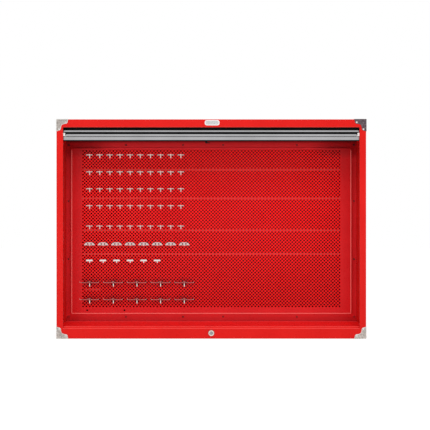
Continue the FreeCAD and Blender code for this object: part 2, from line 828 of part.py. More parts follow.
def lock_plug():
    """The turning plug, with its key slot upright in front and a square for the cam behind."""
    plug = rod_y(PLUG_R, -LOCK_PROUD, CAM_FRONT)
    square = cam_square(CAM_FRONT - 1, CAM_FRONT + CAM_T + CAM_SQUARE_PROUD)
    width, height, depth = KEY_SLOT
    key_slot = box(
        -width / 2, width / 2, -LOCK_PROUD - 1, depth - LOCK_PROUD,
        LOCK_Z - height / 2, LOCK_Z + height / 2,
    )
    return plug.fuse(square).cut(key_slot).removeSplitter()


def lock_cam():
    """A flat cam that points to the right when unlocked, with a finger along its edge."""
    back = CAM_FRONT + CAM_T
    half = CAM_W / 2
    hub = prism_y(8, CAM_HUB_R, CAM_FRONT, back, 0, LOCK_Z, math.radians(22.5))
    arm = [
        (0, LOCK_Z - half), (CAM_REACH, LOCK_Z - half), (CAM_REACH, LOCK_Z + half + CAM_FINGER_L),
        (CAM_REACH - CAM_FINGER_W, LOCK_Z + half + CAM_FINGER_L),
        (CAM_REACH - CAM_FINGER_W, LOCK_Z + half), (0, LOCK_Z + half),
    ]
    arm = polygon(arm, at_xz(CAM_FRONT)).extrude(Vector(0, CAM_T, 0))
    return hub.fuse(arm).cut(cam_square(CAM_FRONT - 1, back + 1)).removeSplitter()


def cam_screw():
    """The hexagon-headed screw that holds the cam on the plug's square."""
    start = CAM_FRONT + CAM_T + CAM_SQUARE_PROUD
    return prism_y(6, CAM_SCREW_R, start, start + CAM_SCREW_H, 0, LOCK_Z)


# Corner guards


def guard_front(left, low):
    """The front face: two legs that end in lobes, with a hollow between them."""
    lobe = GUARD_LOBE_W - GUARD_LOBE_CUT
    leg = [
        (GUARD_LEG, 0.0), (GUARD_END, lobe), (GUARD_END - GUARD_LOBE_CUT, GUARD_LOBE_W),
        (GUARD_HOLLOW_END, GUARD_LOBE_W + 1.0),
    ]
    outline = [(0.0, 0.0)] + leg + [(GUARD_HOLLOW, GUARD_HOLLOW)]
    outline += [(v, u) for u, v in reversed(leg)]
    placed = [(left + u, low + v) for u, v in outline]
    return polygon(placed, at_xz(-GUARD_T))


def guard_wall(along):
    """A side of the guard as (depth, distance along the case's edge), one corner cut off."""
    far = along + GUARD_LEG
    return [
        (-GUARD_T, along), (GUARD_DEPTH, along), (GUARD_DEPTH, far - GUARD_WALL_CUT),
        (GUARD_DEPTH - GUARD_WALL_CUT, far), (-GUARD_T, far),
    ]


def bottom_left_guard():
    """A three-sided cap over a front corner, its outer edges broken."""
    left = -HALF_W - GUARD_T
    low = -GUARD_T
    block = box(left, left + GUARD_LEG, -GUARD_T, GUARD_DEPTH, low, low + GUARD_LEG)
    outer = []
    for edge in block.Edges:
        ends = [v.Point for v in edge.Vertexes]
        on_side = all(abs(p.x - left) < 0.01 for p in ends)
        on_front = all(abs(p.y + GUARD_T) < 0.01 for p in ends)
        on_base = all(abs(p.z - low) < 0.01 for p in ends)
        if on_side + on_front + on_base == 2:
            outer.append(edge)
    block = block.makeChamfer(GUARD_EDGE, outer)
    side = polygon(guard_wall(low), at_yz(left))
    base = polygon([(across, depth) for depth, across in guard_wall(left)], at_xy(low))
    walls = fused([
        guard_front(left, low).extrude(Vector(0, GUARD_T, 0)),
        side.extrude(Vector(GUARD_T, 0, 0)),
        base.extrude(Vector(0, 0, GUARD_T)),
    ])
    return block.common(walls)


def upside_down(shape):
    return shape.mirror(Vector(0, 0, CASE_H / 2), Vector(0, 0, 1))


def left_and_right(name, shape):
    return {name.format("left"): shape, name.format("right"): mirrored(shape)}


def build():
    nodes = {
        "top_panel": top_panel(),
        "bottom_panel": bottom_panel(),
        "back_panel": back_panel(),
        "tool_board": tool_board(),
        "board_stiffeners": board_stiffeners(),
        "barrel_shaft": barrel_shaft(),
        "torsion_spring": torsion_spring(),
        "lock_body": lock_body(),
        "lock_nut": lock_nut(),
        "ring_holders": holder_row(ring_holder, RING_ROW, RING_STEP, RINGS_PER_ROW),
        "plate_holders": holder_row(plate_holder, PLATE_ROW, RING_STEP, PLATES_PER_ROW),
        "barrel_tube": barrel_tube(),
        "coiled_web": coiled_web(),
        "coiled_slats": coiled_slats(),
        "curtain_run": curtain_run(),
        "lower_web": lower_web(),
        "lower_slat": hanging_slat(FIRST_SLAT_Z + SLAT_H / 2),
        "bottom_rail": bottom_rail(),
        "rail_seal": rail_seal(),
        "latch_hook": latch_hook(),
        "lock_plug": lock_plug(),
        "lock_cam": lock_cam(),
        "cam_screw": cam_screw(),
    }
    nodes |= left_and_right("{}_side_panel", left_side_panel())
    nodes |= left_and_right("{}_guide", left_guide())
    nodes |= left_and_right("{}_head_bracket", left_head_bracket())
    nodes |= left_and_right("{}_barrel_cap", mirrored(right_end_cap()))
    nodes |= left_and_right("{}_rail_block", mirrored(right_end_block()))
    guard = bottom_left_guard()
    nodes |= left_and_right("lower_{}_corner_guard", guard)
    nodes |= left_and_right("upper_{}_corner_guard", upside_down(guard))
    for i, row in enumerate(CLIP_ROWS, 1):
        nodes[f"tool_clips_row_{i}"] = holder_row(tool_clip, row, CLIP_STEP, CLIPS_PER_ROW)
    for i, row in enumerate(BRACKET_ROWS, 1):
        nodes[f"wide_brackets_row_{i}"] = holder_row(
            wide_bracket, row, BRACKET_STEP, BRACKETS_PER_ROW
        )
    return nodes


os.makedirs("parts", exist_ok=True)
for node, shape in build().items():
    shape.translate(ORIGIN_SHIFT)
    shape.exportStep(os.path.join("parts", node + ".step"))
print("shutter travel", round(TRAVEL, 2), "mm")
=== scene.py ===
import json
import math

import bpy
from mathutils import Matrix, Vector


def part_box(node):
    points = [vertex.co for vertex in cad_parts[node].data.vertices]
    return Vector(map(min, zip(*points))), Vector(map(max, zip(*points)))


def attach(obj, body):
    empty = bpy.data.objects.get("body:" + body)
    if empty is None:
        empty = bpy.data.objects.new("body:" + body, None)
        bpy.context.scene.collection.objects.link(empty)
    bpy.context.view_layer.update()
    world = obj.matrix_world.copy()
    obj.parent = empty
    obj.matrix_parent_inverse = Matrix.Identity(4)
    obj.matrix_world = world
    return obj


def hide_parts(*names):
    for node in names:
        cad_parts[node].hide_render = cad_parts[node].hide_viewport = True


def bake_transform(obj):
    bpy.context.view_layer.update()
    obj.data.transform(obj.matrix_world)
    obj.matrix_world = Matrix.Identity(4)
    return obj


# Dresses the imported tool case: the whole perforation, the small fasteners, the closed curtain,
# materials, light and camera. Sizes are in millimetres and are turned into metres by place(),
# which takes X from the middle, the depth behind the front flanges and the height over the
# case's underside, as the CAD source does.

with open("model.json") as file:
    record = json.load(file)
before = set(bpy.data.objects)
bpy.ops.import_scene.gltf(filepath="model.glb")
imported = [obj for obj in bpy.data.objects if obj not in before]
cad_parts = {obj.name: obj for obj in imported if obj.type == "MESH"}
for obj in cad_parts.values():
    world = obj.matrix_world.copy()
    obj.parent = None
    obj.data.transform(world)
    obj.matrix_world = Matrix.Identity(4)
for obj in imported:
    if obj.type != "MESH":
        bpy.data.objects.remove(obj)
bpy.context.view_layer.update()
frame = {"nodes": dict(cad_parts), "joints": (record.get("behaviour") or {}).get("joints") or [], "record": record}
MM = 0.001

shell_low, shell_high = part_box("left_side_panel")
board_low, board_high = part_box("tool_board")

# Case
CASE_HALF_W = 600.0
CASE_H = 850.0
SHEET = 1.2

# Tool board
TRAY_HALF_W = 572.5
TRAY_BOTTOM = 78.0
TRAY_TOP = 755.0
TRAY_RISE = 18.0
TRAY_CORNER_R = 5.0
RIM_START = 3.8
RIM_TOP = 1.2
RIM_H = 2.6
RIM_STEPS = 6
FOOT_FOLD_R = 1.5
HOLE_PITCH = 13.8
HOLE_R = 3.55
HOLE_SIDES = 12
GRID_ROWS = 47
GRID_COLUMNS = 77
GRID_TOP = 743.6
GRID_LEFT = -HOLE_PITCH * (GRID_COLUMNS - 1) / 2
WALL_HOLE_R = 4.5
WALL_HOLE_XS = (-587.0, 587.0)
WALL_HOLE_ZS = (64.0, 771.0)
SPARE_HOLE_R = 3.7
SPARE_HOLE_Z = 93.0
SPARE_HOLE_XS = (-507.5, -355.0)
SCREW_XS = (-351.0, -116.0, 48.6, 352.0)
SCREW_ZS = (301.0, 540.0)

# Round fasteners in section, from the front inwards: (radius, height over the sheet they are on)
SCREW_PROFILE = ((1.5, 0.9), (1.7, 2.1), (2.2, 2.2), (3.2, 1.9), (3.8, 1.1), (4.0, 0.0))
PLUG_PROFILE = (
    (3.0, 1.5), (4.6, 1.2), (5.4, 0.1), (WALL_HOLE_R - 0.2, 0.05),
    (WALL_HOLE_R - 0.6, 0.4 - 2 * SHEET),
)
RIVET_PROFILE = ((0.6, 2.9), (2.1, 2.7), (3.3, 2.2), (3.9, 1.2))
# The rivets' distances from the case's side and from its top or bottom
RIVET_PLACES = ((37.0, 12.0), (11.0, 38.5))

# Curtain
# A slat in section, from its upper edge to its lower: (height from its middle, thickness)
SLAT_SECTION = (
    (4.25, 0.0), (4.05, 2.0), (2.38, 2.6), (0.0, 2.8), (-2.38, 2.6), (-4.05, 2.0), (-4.25, 0.0),
)
SLAT_PITCH = 16.5
FIRST_GAP = 2.4
WEB_T = 0.6
WEB_STEP = 4.0
WEB_END_GAP = 18.0
STORE_TOP = 847.0
STORE_H = 20.0
BEND_RISE = 25.6
BEND_STEPS = 12

# Badge
BADGE_X = 3.3
BADGE_HALF_W = 28.5
BADGE_LOW = 826.0
BADGE_HIGH = 846.5
BADGE_CORNER_R = 8.0
BADGE_RIM_W = 3.0
BADGE_RIM_T = 1.6
BADGE_EDGE_R = 0.4
BADGE_FIELD_T = 1.0

# Where a painted shade or painted light begins and where it is full: heights over the case's
# underside, CORNER_XS from its middle, and shares of a piece's own box.
UNDER_SHUTTER = (776.0, 789.0)
BEHIND_FLOOR = (72.0, 12.0)
OVER_TRAY = (TRAY_TOP + 18.0, TRAY_TOP + 3.0)
OFF_TRAY = (TRAY_TOP - 4.0, TRAY_TOP)
UNDER_UPPER_BEND = (TRAY_TOP - 5.8, TRAY_TOP - 13.38)
TRAY_HEAD = (TRAY_TOP - 22.0, TRAY_TOP + 70.0)
UPPER_FACE = (560.0, 720.0)
LOWER_FACE = (500.0, 90.0)
CORNER_XS = (400.0, 500.0)
CORNER_HEIGHTS = (712.0, 736.0)
BRACKET_ROWS = (245.0, 235.0)
FLOOR_REAR_SHARES = (0.78, 0.90)
STEM_SHARES = (0.62, 0.52)
EDGE_SOFTNESS = 0.02

# Noise runs from about 0.3 to 0.7. Roughness varies in patches this much larger than the relief.
NOISE_RANGE = (0.3, 0.7)
ROUGH_PATCH = 6
GROOVE_REACH = 5.0
BRACKET_SHADE_REACH = 24.0
RIM_HIGHLIGHT_W = 4.0
ALONG_X = (0.02, 1.0, 1.0)
# The rail's and the lower slat's long edges: a painted shadow of the gaps beside them.
GAP_SHADOW = (0.004, 0.004, 0.004)
CORNER_SHADE = (0.47, 0.010, 0.013)

CASE_D = (shell_high.y - shell_low.y) / MM
FLANGE_DEPTH = CASE_D - 2 * SHEET
TRAY_FACE = FLANGE_DEPTH - TRAY_RISE
WALL_HOLES = [(x, z) for x in WALL_HOLE_XS for z in WALL_HOLE_ZS]


def place(x, depth, z):
    return Vector((x * MM, shell_low.y + depth * MM, shell_low.z + z * MM))


# Node helpers for materials


def node(tree, kind, **inputs):
    made = tree.nodes.new(kind)
    for key, value in inputs.items():
        made.inputs[key].default_value = value
    return made


def noise(tree, scale, detail=2.0, roughness=0.5, stretch=(1.0, 1.0, 1.0)):
    """Noise in the object's own metres; scale is in bumps per metre, about."""
    where = tree.nodes.new("ShaderNodeTexCoord")
    mapping = node(tree, "ShaderNodeMapping", Scale=stretch)
    made = node(tree, "ShaderNodeTexNoise", Scale=scale, Detail=detail, Roughness=roughness)
    tree.links.new(where.outputs["Object"], mapping.inputs["Vector"])
    tree.links.new(mapping.outputs["Vector"], made.inputs["Vector"])
    return made.outputs["Fac"]


def ramp(tree, value, start, end, low=0.0, high=1.0):
    """The low result at the start value, the high one at the end value, evenly between them."""
    limits = {"From Min": start, "From Max": end, "To Min": low, "To Max": high}
    made = node(tree, "ShaderNodeMapRange", **limits)
    tree.links.new(value, made.inputs["Value"])
    return made.outputs["Result"]


def maths(tree, operation, *values):
    made = tree.nodes.new("ShaderNodeMath")
    made.operation = operation
    for value, socket in zip(values, made.inputs):
        tree.links.new(value, socket)
    return made.outputs[0]


def both(tree, first, second):
    return maths(tree, "MULTIPLY", first, second)


def either(tree, first, second):
    return maths(tree, "MAXIMUM", first, second)


def size_of(tree, value):
    return maths(tree, "ABSOLUTE", value)


def coordinate(tree, kind, axis):
    """One part of an object's own normal, place, or place in its own box from 0 to 1."""
    where = tree.nodes.new("ShaderNodeTexCoord")
    parts = tree.nodes.new("ShaderNodeSeparateXYZ")
    tree.links.new(where.outputs[kind], parts.inputs["Vector"])
    return parts.outputs[axis]


def open_share(tree, reach, only_local=False):
    """How open the surroundings are within a reach in millimetres: 1 for an open face."""
    made = node(tree, "ShaderNodeAmbientOcclusion", Distance=reach * MM)
    made.samples = 8
    made.only_local = only_local
    return made.outputs["AO"]


def between(tree, value, low, high):
    """A colour between two, by a value from 0 to 1."""
    made = tree.nodes.new("ShaderNodeMix")
    made.data_type = "RGBA"
    made.inputs["A"].default_value = (*low, 1.0)
    made.inputs["B"].default_value = (*high, 1.0)
    tree.links.new(value, made.inputs["Factor"])
    return made.outputs["Result"]


# Shares from 0 to 1 of a surface that another colour takes


def by_height(tree, start, end):
    low, high = [shell_low.z + z * MM for z in (start, end)]
    return ramp(tree, coordinate(tree, "Object", "Z"), low, high)


def facing_up(tree):
    return ramp(tree, coordinate(tree, "Normal", "Z"), 0.5, 0.9)


def on_bends(tree):
    """1 where a surface turns away from the case's main directions, as bends and edges do."""
    across, deep, up = [size_of(tree, coordinate(tree, "Normal", axis)) for axis in "XYZ"]
    return ramp(tree, either(tree, either(tree, across, deep), up), 0.98, 0.80)


def on_lit_bends(tree):
    """The board's bends that the light reaches: all but the upper one, under the shutter."""
    return both(tree, on_bends(tree), by_height(tree, *UNDER_UPPER_BEND))


def above_tray(tree):
    """1 on the flange just over the tray, and 0 again on the tray itself."""
    return both(tree, by_height(tree, *OVER_TRAY), by_height(tree, *OFF_TRAY))


def upper_corners(tree):
    """Rises towards the board's upper corners, which lie deepest in the shade."""
    start, end = [x * MM for x in CORNER_XS]
    side = ramp(tree, size_of(tree, coordinate(tree, "Object", "X")), start, end)
    return both(tree, side, by_height(tree, *CORNER_HEIGHTS))


def floor_rear_top(tree):
    """1 on top of the floor along its rear, beside the board."""
    rear = ramp(tree, coordinate(tree, "Generated", "Y"), *FLOOR_REAR_SHARES)
    return both(tree, rear, facing_up(tree))


def on_stems(tree):
    """1 on the lower part of a row of brackets, where only their hanging strips are."""
    return ramp(tree, coordinate(tree, "Generated", "Z"), *STEM_SHARES)


def near_brackets(tree):
    """Rises near the wide brackets, which stand close in front of the board and shade it."""
    shade = ramp(tree, open_share(tree, BRACKET_SHADE_REACH), 0.99, 0.85)
    return both(tree, shade, by_height(tree, *BRACKET_ROWS))


def in_grooves(tree):
    """1 deep in a groove, where dirt stays and light doesn't reach, and 0 on open faces."""
    return ramp(tree, open_share(tree, GROOVE_REACH, only_local=True), 0.95, 0.45)


def in_holes(tree):
    """1 on the walls of the board's holes, which don't face the front or the back."""
    return ramp(tree, size_of(tree, coordinate(tree, "Normal", "Y")), 0.6, 0.4)


def inside_behind_board(tree):
    """1 on the inner side of the back panel, where the tool board's tray covers it."""
    front = ramp(tree, coordinate(tree, "Normal", "Y"), -0.4, -0.6)
    across = coordinate(tree, "Generated", "X")
    kept = both(tree, ramp(tree, across, 0.02, 0.025), ramp(tree, across, 0.98, 0.975))
    return both(tree, front, kept)


def near_long_edges(tree, low_share, high_share):
    """1 within a share of the height from the lower or the upper edge of a long bar."""
    height = coordinate(tree, "Generated", "Z")
    upper = 1 - high_share
    at_low = ramp(tree, height, low_share + EDGE_SOFTNESS, low_share - EDGE_SOFTNESS)
    at_high = ramp(tree, height, upper - EDGE_SOFTNESS, upper + EDGE_SOFTNESS)
    return either(tree, at_low, at_high)


def rim_highlight(tree):
    """1 along a pressed piece's edges, where a highlight is painted."""
    rounded = node(tree, "ShaderNodeBevel", Radius=RIM_HIGHLIGHT_W * MM)
    rounded.samples = 6
    plain = tree.nodes.new("ShaderNodeNewGeometry")
    dot = tree.nodes.new("ShaderNodeVectorMath")
    dot.operation = "DOT_PRODUCT"
    tree.links.new(rounded.outputs["Normal"], dot.inputs[0])
    tree.links.new(plain.outputs["Normal"], dot.inputs[1])
    return ramp(tree, dot.outputs["Value"], 0.99, 0.90)


# Materials


def material(name, low, high, rough, metallic=0.0, grain=0.02, bump=0.1, bump_scale=900.0,
             stretch=(1.0, 1.0, 1.0), tint_scale=9.0, **shine):
    """A surface whose colour, roughness and relief vary with noise, each at its own size."""
    made = bpy.data.materials.new(name)
    made.use_nodes = True
    tree = made.node_tree
    shader = tree.nodes["Principled BSDF"]
    shader.inputs["Metallic"].default_value = metallic
    for key, value in shine.items():
        shader.inputs[key.replace("_", " ")].default_value = value
    tint = ramp(tree, noise(tree, tint_scale, 3.0), *NOISE_RANGE)
    tree.links.new(between(tree, tint, low, high), shader.inputs["Base Color"])
    fine = noise(tree, bump_scale, stretch=stretch)
    coarse = noise(tree, bump_scale / ROUGH_PATCH, 3.0, 0.6, stretch)
    tree.links.new(ramp(tree, coarse, *NOISE_RANGE, *rough), shader.inputs["Roughness"])
    relief = node(tree, "ShaderNodeBump", Strength=bump, Distance=grain * MM)
    tree.links.new(fine, relief.inputs["Height"])
    tree.links.new(relief.outputs["Normal"], shader.inputs["Normal"])
    return made


def recolour(made, *layers):
    """Lays other colours over a material's own, the last one on top.

    A layer is the function that works out its share, its colour, and the limits that the
    function takes, if any.
    """
    tree = made.node_tree
    base = tree.nodes["Principled BSDF"].inputs["Base Color"]
    for share, colour, *limits in layers:
        mix = tree.nodes.new("ShaderNodeMix")
        mix.data_type = "RGBA"
        mix.inputs["B"].default_value = (*colour, 1.0)
        tree.links.new(base.links[0].from_socket, mix.inputs["A"])
        tree.links.new(share(tree, *limits), mix.inputs["Factor"])
        tree.links.new(mix.outputs["Result"], base)
    return made


def aluminium(name, bright=1.0):
    """Brushed along its length, with dirt and painted shade in the grooves."""
    low = [bright * part for part in (0.38, 0.375, 0.385)]
    high = [bright * part for part in (0.44, 0.435, 0.45)]
    made = material(name, low, high, (0.30, 0.40), 1.0, bump_scale=2500.0, stretch=ALONG_X)
    return recolour(made, (in_grooves, (0.07, 0.07, 0.075)))


def plated(name, bright, tone):
    """Bright zinc plating, a little uneven in tone. Its red tint is a painted reflection of the red case."""
    low = [0.98 * bright * part for part in tone]
    high = [1.13 * bright * part for part in tone]
    return material(name, low, high, (0.14, 0.26), 1.0, bump_scale=400.0, tint_scale=90.0)


def red_coat(name, low, high):
    """Fine-grained powder coat."""
    return material(
        name, low, high, (0.26, 0.34), grain=0.03, bump=0.25, bump_scale=700.0,
        Specular_IOR_Level=0.12,
    )


def red_paint(name, bend_highlight=(0.76, 0.085, 0.070)):
    """The case's coat, with a painted highlight along the bends."""
    made = red_coat(name, (0.67, 0.009, 0.007), (0.73, 0.012, 0.009))
    return recolour(made, (on_bends, bend_highlight))


def board_paints():
    """The tool board's coat as lit and shaded copies: its face, the strip round it, and its flange."""
    face = red_coat("red_coat_face_painted_light", (0.90, 0.006, 0.007), (0.95, 0.009, 0.010))
    border = red_coat("red_coat_border_painted_shade", (0.61, 0.010, 0.013), (0.66, 0.013, 0.016))
    rim = red_coat("red_coat_flange_painted_light_and_shade", (0.70, 0.020, 0.024), (0.76, 0.024, 0.029))
    return {
        # Painted light: brighter in the upper part and darker towards the floor. Painted shade in the upper
        # corners, on the hole walls and near the wide brackets.
        "face_paint": recolour(
            face,
            (by_height, (1.0, 0.008, 0.009), *UPPER_FACE),
            (by_height, (0.76, 0.005, 0.006), *LOWER_FACE),
            (upper_corners, (0.64, 0.008, 0.009)),
            (in_holes, (0.13, 0.002, 0.002)),
            (near_brackets, (0.20, 0.004, 0.006)),
        ),
        # Painted shade: darker towards the tray's top and in the upper corners.
        "border_paint": recolour(
            border,
            (by_height, (0.05, 0.001, 0.002), *TRAY_HEAD),
            (upper_corners, CORNER_SHADE),
        ),
        # Painted light on the flange just over the tray, and a painted highlight on the lit bends. Painted shade
        # in the upper corners, behind the floor and under the shutter.
        "rim_paint": recolour(
            rim,
            (above_tray, (1.0, 0.035, 0.045)),
            (upper_corners, CORNER_SHADE),
            (on_lit_bends, (0.90, 0.17, 0.155)),
            (by_height, (0.10, 0.002, 0.004), *BEHIND_FLOOR),
            (by_height, (0.05, 0.001, 0.002), *UNDER_SHUTTER),
        ),
    }


def make_materials():
    """The finishes. Those that are named like a slot in the record are its usual finish."""
    return {
        **board_paints(),
        "red_paint": red_paint("red_powder_coat"),
        # Painted shade: the back panel nearly black on its inner side behind the board, seen through the holes.
        "back_paint": recolour(
            red_paint("red_coat_dark_inside"), (inside_behind_board, (0.012, 0.001, 0.001))
        ),
        # Painted light: the floor's top brighter, with painted highlights along its bends and its rear.
        "floor_paint": recolour(
            red_paint("red_coat_floor", (0.80, 0.16, 0.145)),
            (facing_up, (1.0, 0.016, 0.016)),
            (floor_rear_top, (1.0, 0.055, 0.06)),
        ),
        "stiffener_paint": material(
            "pale_red_primer", (0.27, 0.048, 0.041), (0.34, 0.064, 0.053), (0.6, 0.75),
            tint_scale=60.0,
        ),
        "galvanised": material(
            "zinc_plated_steel", (0.30, 0.31, 0.32), (0.42, 0.43, 0.44), (0.32, 0.48), 1.0,
            tint_scale=60.0,
        ),
        "guard_steel": recolour(
            material(
                "satin_steel", (0.33, 0.295, 0.27), (0.63, 0.575, 0.53), (0.28, 0.46), 1.0,
                bump_scale=1500.0, tint_scale=190.0,
            ),
            (rim_highlight, (0.92, 0.91, 0.88)),
        ),
        # A darker copy of the guard steel, for the upper right guard: a painted dark reflection.
        "guard_steel_painted_dark_reflection": material(
            "satin_steel_painted_dark_reflection", (0.07, 0.045, 0.055), (0.22, 0.17, 0.185), (0.28, 0.46), 1.0,
            bump_scale=1500.0, tint_scale=190.0,
        ),
        "rivet_steel": material(
            "bright_rivets", (0.62, 0.60, 0.58), (0.84, 0.82, 0.80), (0.25, 0.38), 1.0,
            tint_scale=120.0,
        ),
        "anodised": aluminium("anodised_aluminium"),
        "rail_finish": recolour(
            aluminium("rail_aluminium", 1.12), (near_long_edges, GAP_SHADOW, 0.055, 0.05)
        ),
        "slat_finish": recolour(
            aluminium("slat_aluminium"), (near_long_edges, GAP_SHADOW, 0.13, 0.17)
        ),
        "holder_chrome": plated("bright_plating", 0.72, (1.03, 0.91, 0.88)),
        # The clips and the rings: dimmer and redder copies of the plating, a painted reflection of the red board.
        "clip_chrome": plated("clip_plating", 0.54, (1.24, 0.90, 0.84)),
        "ring_chrome": plated("ring_plating", 0.56, (1.20, 0.87, 0.84)),
        # Dim and red: a painted reflection of the red board. The hanging strips are painted bright: a painted
        # highlight.
        "bracket_chrome": recolour(
            material(
                "bracket_plating", (0.50, 0.19, 0.18), (0.62, 0.26, 0.24), (0.14, 0.26), 1.0,
                bump_scale=400.0, tint_scale=60.0,
            ),
            (on_stems, (0.95, 0.82, 0.74)),
        ),
        # Darker on its rounded edges: painted shade.
        "lock_nickel": recolour(
            material(
                "nickel_plate", (0.74, 0.63, 0.55), (0.98, 0.86, 0.77), (0.16, 0.28), 1.0,
                bump_scale=800.0, tint_scale=160.0,
            ),
            (on_bends, (0.30, 0.26, 0.22)),
        ),
        "plug_nickel": material(
            "worn_nickel_plug", (0.26, 0.26, 0.26), (0.42, 0.42, 0.42), (0.20, 0.32), 1.0,
            bump_scale=800.0, tint_scale=160.0,
        ),
        "white_nylon": material(
            "white_nylon", (0.74, 0.74, 0.72), (0.82, 0.82, 0.80), (0.45, 0.60),
            bump_scale=500.0, tint_scale=60.0,
        ),
        "black_rubber": material(
            "black_rubber", (0.006, 0.006, 0.006), (0.012, 0.012, 0.012), (0.60, 0.80),
            tint_scale=50.0, Specular_IOR_Level=0.05,
        ),
        "dark_web": material(
            "dark_curtain_web", (0.002, 0.002, 0.002), (0.005, 0.005, 0.005), (0.55, 0.70),
            bump_scale=1200.0, tint_scale=50.0, Specular_IOR_Level=0.04,
        ),
        "black_steel": material(
            "black_steel", (0.006, 0.004, 0.004), (0.012, 0.009, 0.009), (0.50, 0.65),
            bump_scale=700.0, tint_scale=60.0, Specular_IOR_Level=0.06,
        ),
        "plug_plastic": recolour(
            material(
                "dark_red_plastic", (0.34, 0.012, 0.014), (0.40, 0.015, 0.018), (0.5, 0.65),
                tint_scale=60.0, Specular_IOR_Level=0.2,
            ),
            (upper_corners, (0.12, 0.006, 0.008)),
        ),
        "screw_paint": material(
            "painted_screws", (0.20, 0.020, 0.020), (0.27, 0.028, 0.026), (0.35, 0.5),
            tint_scale=60.0, Specular_IOR_Level=0.2,
        ),
        "badge_plate": material(
            "bare_badge_plate", (0.90, 0.90, 0.90), (0.97, 0.97, 0.97), (0.22, 0.32), 0.6,
            bump_scale=2000.0, stretch=ALONG_X, tint_scale=40.0,
        ),
        "badge_field": material(
            "matt_badge_field", (0.52, 0.52, 0.52), (0.72, 0.72, 0.72), (0.35, 0.50), 0.8,
            bump_scale=2000.0, stretch=ALONG_X, tint_scale=260.0,
        ),
    }


materials = make_materials()


def paint(obj, name):
    obj.data.materials.clear()
    obj.data.materials.append(materials[name])


def dress(obj, body, name, stands_for=()):
    """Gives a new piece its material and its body."""
    paint(obj, name)
    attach(obj, body)
    if stands_for:
        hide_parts(*stands_for)
    return obj


# Mesh helpers


def mesh_object(name, points, faces, smooth=False):
    mesh = bpy.data.meshes.new(name)
    mesh.from_pydata([tuple(p) for p in points], [], faces)
    mesh.update()
    if smooth:
        mesh.shade_smooth()
    obj = bpy.data.objects.new(name, mesh)
    bpy.context.scene.collection.objects.link(obj)
    return obj


def joined(name, pieces):
    """Several mesh objects as one."""
    points = []
    faces = []
    for obj in pieces:
        start = len(points)
        points += [obj.matrix_world @ v.co for v in obj.data.vertices]
        faces += [[start + i for i in p.vertices] for p in obj.data.polygons]
    smooth = [p.use_smooth for obj in pieces for p in obj.data.polygons]
    for obj in pieces:
        bpy.data.objects.remove(obj)
    made = mesh_object(name, points, faces)
    made.data.polygons.foreach_set("use_smooth", smooth)
    return made


def ring_faces(rings, count):
    """Quads between closed rings of points, each ring with the same count."""
    faces = []
    for start in range(0, (rings - 1) * count, count):
        for i in range(count):
            a, b = start + i, start + (i + 1) % count
            faces.append((a, b, count + b, count + a))
    return faces


def circle(x, z, radius, sides=24):
    turn = 2 * math.pi / sides
    angles = [i * turn for i in range(sides)]
    return [(x + radius * math.cos(angle), z + radius * math.sin(angle)) for angle in angles]


def rounded_rectangle(half_w, low, high, radius, steps=6):
    """A rectangle's outline with round corners, about the middle of the case."""
    radius = max(radius, 0.05)
    found = []
    corners = (
        (half_w - radius, high - radius, 0), (radius - half_w, high - radius, 90),
        (radius - half_w, low + radius, 180), (half_w - radius, low + radius, 270),
    )
    for x, z, start in corners:
        for i in range(steps + 1):
            angle = math.radians(start + 90 * i / steps)
            found.append((x + radius * math.cos(angle), z + radius * math.sin(angle)))
    return found


def plate(name, loops, depth, thickness, edge=0.0):
    """A flat plate with holes, from outlines as (across, height), its edges rounded."""
    curve = bpy.data.curves.new(name, "CURVE")
    curve.dimensions = "2D"
    curve.fill_mode = "BOTH"
    curve.extrude = (thickness / 2 - edge) * MM
    curve.bevel_depth = edge * MM
    curve.bevel_resolution = 2
    curve.offset = -edge * MM
    for loop in loops:
        spline = curve.splines.new("POLY")
        spline.points.add(len(loop) - 1)
        for point, (x, z) in zip(spline.points, loop):
            point.co = (x * MM, z * MM, 0.0, 1.0)
        spline.use_cyclic_u = True
    holder = bpy.data.objects.new(name + "_outline", curve)
    bpy.context.scene.collection.objects.link(holder)
    mesh = bpy.data.meshes.new_from_object(holder)
    bpy.data.objects.remove(holder)
    stand_up = Matrix.Rotation(math.radians(90), 4, "X")
    mesh.transform(Matrix.Translation(place(0, depth + thickness / 2, 0)) @ stand_up)
    mesh.name = name
    obj = bpy.data.objects.new(name, mesh)
    bpy.context.scene.collection.objects.link(obj)
    return obj


def turned(name, profile, x, z, sides):
    """A round piece about a line along the depth, from (radius, depth) points, front first."""
    points = []
    for radius, depth in profile:
        points += [place(u, depth, v) for u, v in circle(x, z, radius, sides)]
    faces = ring_faces(len(profile), sides)
    faces.append(tuple(reversed(range(sides))))
    return mesh_object(name, points, faces, smooth=True)


def turned_set(name, profile, depth, places, sides):
    """Equal round pieces on a sheet at a depth, as one object."""
    shape = [(radius, depth - height) for radius, height in profile]
    return joined(name, [turned(name + "_piece", shape, x, z, sides) for x, z in places])


def polish(obj, width):
    """Rounds a carried-over CAD node's sharp edges, as pressing and plating do."""
    weld = obj.modifiers.new("weld", "WELD")
    weld.merge_threshold = 0.00001
    bevel = obj.modifiers.new("edges", "BEVEL")
    bevel.width = width * MM
    bevel.segments = 3
    bevel.limit_method = "ANGLE"
    bevel.angle_limit = math.radians(25)
    bevel.harden_normals = True


# Tool board


def hole_centres(first_row, last_row):
    """The holes whose row, in half pitches from the top, is in the given range."""
    found = []
    for half_row in range(first_row, last_row):
        shifted = half_row % 2
        z = GRID_TOP - HOLE_PITCH * half_row / 2
        for column in range(GRID_COLUMNS - shifted):
            found.append((GRID_LEFT + HOLE_PITCH * (column + shifted / 2), z))
    return found


